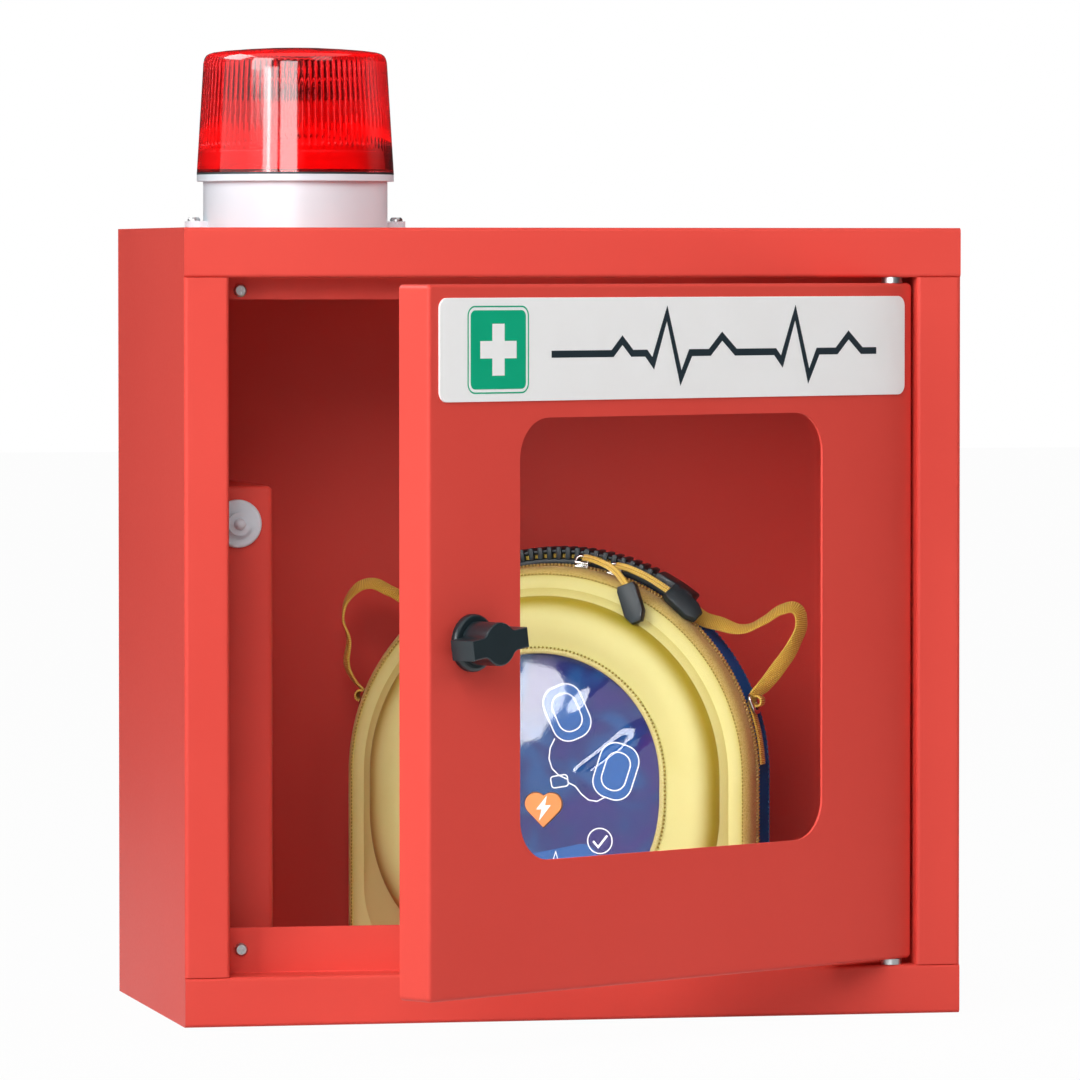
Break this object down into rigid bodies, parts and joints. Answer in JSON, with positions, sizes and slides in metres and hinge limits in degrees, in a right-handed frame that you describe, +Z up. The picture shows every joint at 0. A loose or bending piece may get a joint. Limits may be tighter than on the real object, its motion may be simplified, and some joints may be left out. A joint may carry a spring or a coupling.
{
  "type": "defibrillator station",
  "caption": "Wall cabinet with a glazed door, rooftop strobe beacon and door alarm, holding a defibrillator in its zipped carry case.",
  "frame": {"origin": "middle of the cabinet's flat underside", "axes": "+Z up, +Y towards the wall behind the cabinet, +X to the right seen from the front"},
  "size_m": [0.4, 0.4104, 0.4924],
  "materials": {
    "red_powder_coat": "satin red powder coat on folded steel sheet",
    "zinc_plate": "bright zinc plate",
    "black_nylon": "moulded black nylon, fine sheen",
    "white_abs": "moulded white ABS",
    "battery_grey": "dark grey moulded battery case",
    "circuit_green": "solder mask green",
    "circuit_white": "solder mask white, to reflect the flash",
    "red_lens": "transparent red polycarbonate, fluted inside",
    "flash_glass": "clear quartz glass tube",
    "clear_acrylic": "clear polished acrylic sheet",
    "clear_vinyl": "clear flexible vinyl sheet",
    "sign_white": "white enamelled plate with flat printed signs",
    "yellow_eva": "yellow smooth laminate over moulded EVA foam",
    "blue_eva": "dark blue laminate over moulded EVA foam",
    "pale_binding": "stitched yellow binding",
    "zip_tape": "tan woven zip tape with moulded teeth",
    "yellow_webbing": "ribbed yellow polyester webbing",
    "yellow_cord": "braided yellow polyester cord",
    "black_rubber": "moulded black rubber",
    "nickel_wire": "nickel-plated metal",
    "aed_blue": "textured dark blue ABS",
    "overlay_film": "printed blue polyester film",
    "button_orange": "translucent orange moulding",
    "button_green": "green moulding"
  },
  "bodies": {
    "cabinet": {"top_panel": "red_powder_coat", "bottom_panel": "red_powder_coat", "left_side_panel": "red_powder_coat", "right_side_panel": "red_powder_coat", "back_panel": "red_powder_coat", "lip_screws": "zinc_plate", "hinge_pins": "zinc_plate", "hinge_washers": "zinc_plate", "alarm_box_cover": "red_powder_coat", "alarm_siren": "black_nylon", "alarm_battery": "battery_grey", "alarm_circuit_board": "circuit_green", "alarm_button_housing": "white_abs", "alarm_button_nut": "white_abs", "beacon_base": "white_abs", "roof_grommet": "black_rubber", "beacon_screws": "zinc_plate", "beacon_gasket": "black_rubber", "beacon_lens": "red_lens", "beacon_circuit_board": "circuit_white", "beacon_capacitor": "black_nylon", "flash_tube_holder": "white_abs", "flash_tube": "flash_glass"},
    "door": {"door_panel": "red_powder_coat", "window_pane": "clear_acrylic", "pane_clips": "zinc_plate", "pane_nuts": "zinc_plate", "sign_plate": "sign_white", "hinge_bushes": "black_nylon", "door_magnet": "white_abs", "lock_rosette": "black_nylon", "lock_barrel": "zinc_plate", "lock_nut": "zinc_plate"},
    "knob": {"lock_knob": "black_nylon", "lock_spindle": "zinc_plate", "lock_cam": "zinc_plate", "cam_screw": "zinc_plate"},
    "alarm_push": {"alarm_button": "white_abs"},
    "case": {"case_front_shell": "yellow_eva", "case_window": "clear_vinyl", "window_trim": "pale_binding", "case_back_shell": "blue_eva", "case_zip": "zip_tape", "handle_grip": "black_rubber", "carry_straps": "yellow_webbing", "d_rings": "nickel_wire", "aed_front_housing": "aed_blue", "aed_rear_housing": "aed_blue", "aed_overlay": "overlay_film", "aed_circuit_board": "circuit_green", "aed_speaker": "black_nylon", "battery_electrode_pack": "battery_grey"},
    "left_zip_slider": {"zip_slider_left": "nickel_wire", "pull_cord_left": "yellow_cord", "pull_end_left": "black_rubber"},
    "right_zip_slider": {"zip_slider_right": "nickel_wire", "pull_cord_right": "yellow_cord", "pull_end_right": "black_rubber"},
    "shock": {"shock_button": "button_orange"},
    "on_off": {"on_off_button": "button_green"}
  },
  "joints": [
    {"name": "door_hinge", "type": "hinge", "parent": "cabinet", "child": "door", "pos_m": [0.1655, -0.099, 0.2], "axis": [0, 0, 1], "range_deg": [-34, 76]},
    {"name": "knob_turn", "type": "hinge", "parent": "door", "child": "knob", "pos_m": [-0.08939, -0.27816, 0.1997], "axis": [0.5592, -0.829, 0], "range_deg": [-8.5, 81.5]},
    {"name": "alarm_button_press", "type": "slide", "parent": "cabinet", "child": "alarm_push", "axis": [0, 1, 0], "range_m": [0, 0.002], "stiffness_N_per_m": 400, "springref_m": -0.001},
    {"name": "case_lift", "type": "slide", "parent": "cabinet", "child": "case", "axis": [0, 0, 1], "range_m": [0, 0.05]},
    {"name": "left_slider_run", "type": "hinge", "parent": "case", "child": "left_zip_slider", "pos_m": [0.0126, 0.01, 0.1178], "axis": [-0.454, -0.891, 0], "range_deg": [0, 70]},
    {"name": "right_slider_run", "type": "hinge", "parent": "case", "child": "right_zip_slider", "pos_m": [0.0126, 0.01, 0.1178], "axis": [-0.454, -0.891, 0], "range_deg": [-45, 0]},
    {"name": "shock_button_press", "type": "slide", "parent": "case", "child": "shock", "axis": [0.454, 0.891, 0], "range_m": [0, 0.0008], "stiffness_N_per_m": 1500, "springref_m": -0.001},
    {"name": "on_off_button_press", "type": "slide", "parent": "case", "child": "on_off", "axis": [0.454, 0.891, 0], "range_m": [0, 0.0008], "stiffness_N_per_m": 1500, "springref_m": -0.001}
  ]
}
